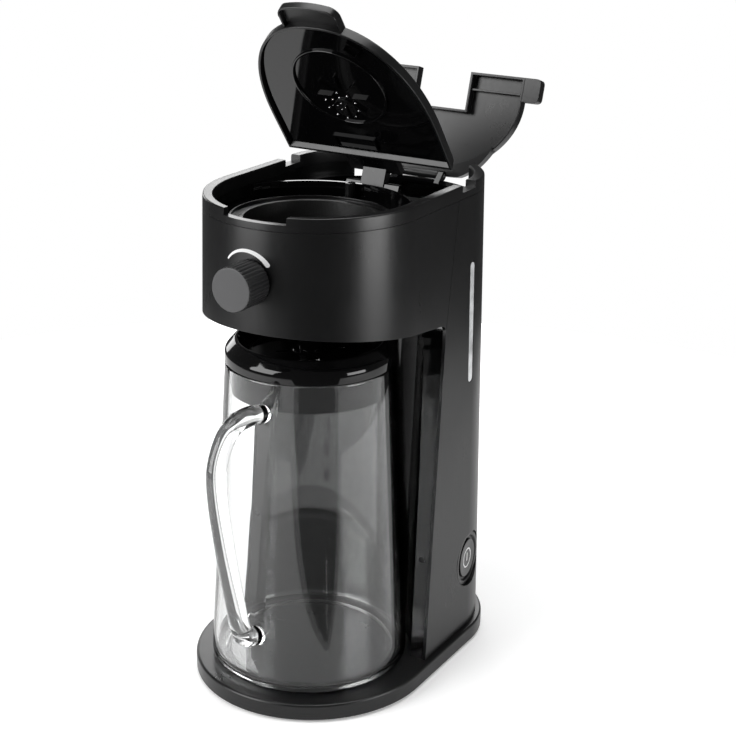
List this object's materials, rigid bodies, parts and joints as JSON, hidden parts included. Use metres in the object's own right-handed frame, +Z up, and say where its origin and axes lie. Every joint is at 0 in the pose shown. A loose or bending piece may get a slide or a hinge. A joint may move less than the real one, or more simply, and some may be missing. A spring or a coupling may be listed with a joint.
{
  "type": "iced tea maker",
  "caption": "Iced tea maker with a glass jug, lift-out brew basket, strength dial, power button and two hinged lids.",
  "frame": {"origin": "on the floor under the middle of the whole object's box, both lids open as in the picture", "axes": "+Z up, -Y is the front with the dial and the jug handle, +X is the side with the power button"},
  "size_m": [0.1776, 0.3231, 0.495],
  "materials": {
    "satin_black": "satin moulded plastic",
    "gloss_black": "polished moulded plastic",
    "dial_grey": "fine satin with a ribbed side",
    "rubber_black": "matt",
    "steel": "bright",
    "cast_aluminium": "cast",
    "clear_glass": "clear",
    "clear_plastic": "translucent",
    "white_nylon": "moulded",
    "filter_mesh": "fine mesh in a moulded frame",
    "silicone_hose": "translucent silicone",
    "lead_insulation": "matt insulation"
  },
  "bodies": {
    "housing": {"base_tray": "satin_black", "base_bottom_plate": "satin_black", "rear_housing": "satin_black", "head_shell": "satin_black", "head_underside": "satin_black", "top_ring": "satin_black", "brew_well": "satin_black", "power_bezel": "satin_black", "water_spout": "satin_black", "column_front_panel": "gloss_black", "deck": "gloss_black", "foot_1": "rubber_black", "foot_2": "rubber_black", "foot_3": "rubber_black", "foot_4": "rubber_black", "cord_gland": "rubber_black", "base_screw_1": "steel", "base_screw_2": "steel", "base_screw_3": "steel", "base_screw_4": "steel", "column_screw_left": "steel", "column_screw_right": "steel", "front_hinge_pin": "steel", "tank_hinge_pin": "steel", "dial_bush": "steel", "boiler_bracket_left": "steel", "boiler_bracket_right": "steel", "boiler": "cast_aluminium", "thermostat": "cast_aluminium", "level_window": "clear_plastic", "water_tank": "clear_plastic", "switch_body": "white_nylon", "check_valve": "white_nylon", "thermal_fuse": "white_nylon", "terminal_block": "white_nylon", "cold_hose": "silicone_hose", "hot_hose": "silicone_hose", "heater_lead": "lead_insulation", "switch_lead": "lead_insulation"},
    "front_lid": {"front_lid_cover": "satin_black", "front_lid_liner": "gloss_black", "shower_plate": "satin_black"},
    "rear_lid": {"tank_lid": "satin_black"},
    "dial": {"strength_dial": "dial_grey", "dial_spindle": "steel", "selector_disc": "white_nylon"},
    "button": {"power_button": "gloss_black"},
    "jug": {"jug_glass": "clear_glass"},
    "jug_cover": {"jug_lid": "gloss_black"},
    "basket": {"brew_basket": "satin_black", "brew_filter": "filter_mesh", "drip_valve_spring": "steel"},
    "drip_valve": {"drip_valve_stem": "white_nylon", "drip_valve_seal": "rubber_black"}
  },
  "joints": [
    {"name": "front_lid_hinge", "type": "hinge", "parent": "housing", "child": "front_lid", "pos_m": [0, 0.04727, 0.353], "axis": [-1, 0, 0], "range_deg": [-52.1, 0]},
    {"name": "tank_lid_hinge", "type": "hinge", "parent": "housing", "child": "rear_lid", "pos_m": [0, 0.11887, 0.35], "axis": [-1, 0, 0], "range_deg": [-107, 0]},
    {"name": "dial_turn", "type": "hinge", "parent": "housing", "child": "dial", "pos_m": [0, -0.11195, 0.3207], "axis": [0, -1, 0], "range_deg": [-60, 60]},
    {"name": "power_press", "type": "slide", "parent": "housing", "child": "button", "axis": [-0.9936, -0.1132, 0], "range_m": [0, 0.0025], "stiffness_N_per_m": 600, "springref_m": -0.002},
    {"name": "jug_slide", "type": "slide", "parent": "housing", "child": "jug", "axis": [0, -1, 0], "range_m": [0, 0.2]},
    {"name": "jug_lid_turn", "type": "hinge", "parent": "jug", "child": "jug_cover", "pos_m": [0, -0.03823, 0.25], "axis": [0, 0, 1], "continuous": true},
    {"name": "basket_lift", "type": "slide", "parent": "housing", "child": "basket", "axis": [0, 0, 1], "range_m": [0, 0.04]},
    {"name": "drip_valve_lift", "type": "slide", "parent": "basket", "child": "drip_valve", "axis": [0, 0, 1], "range_m": [0, 0.003], "stiffness_N_per_m": 200, "springref_m": -0.004, "deforming": ["drip_valve_spring"]}
  ]
}
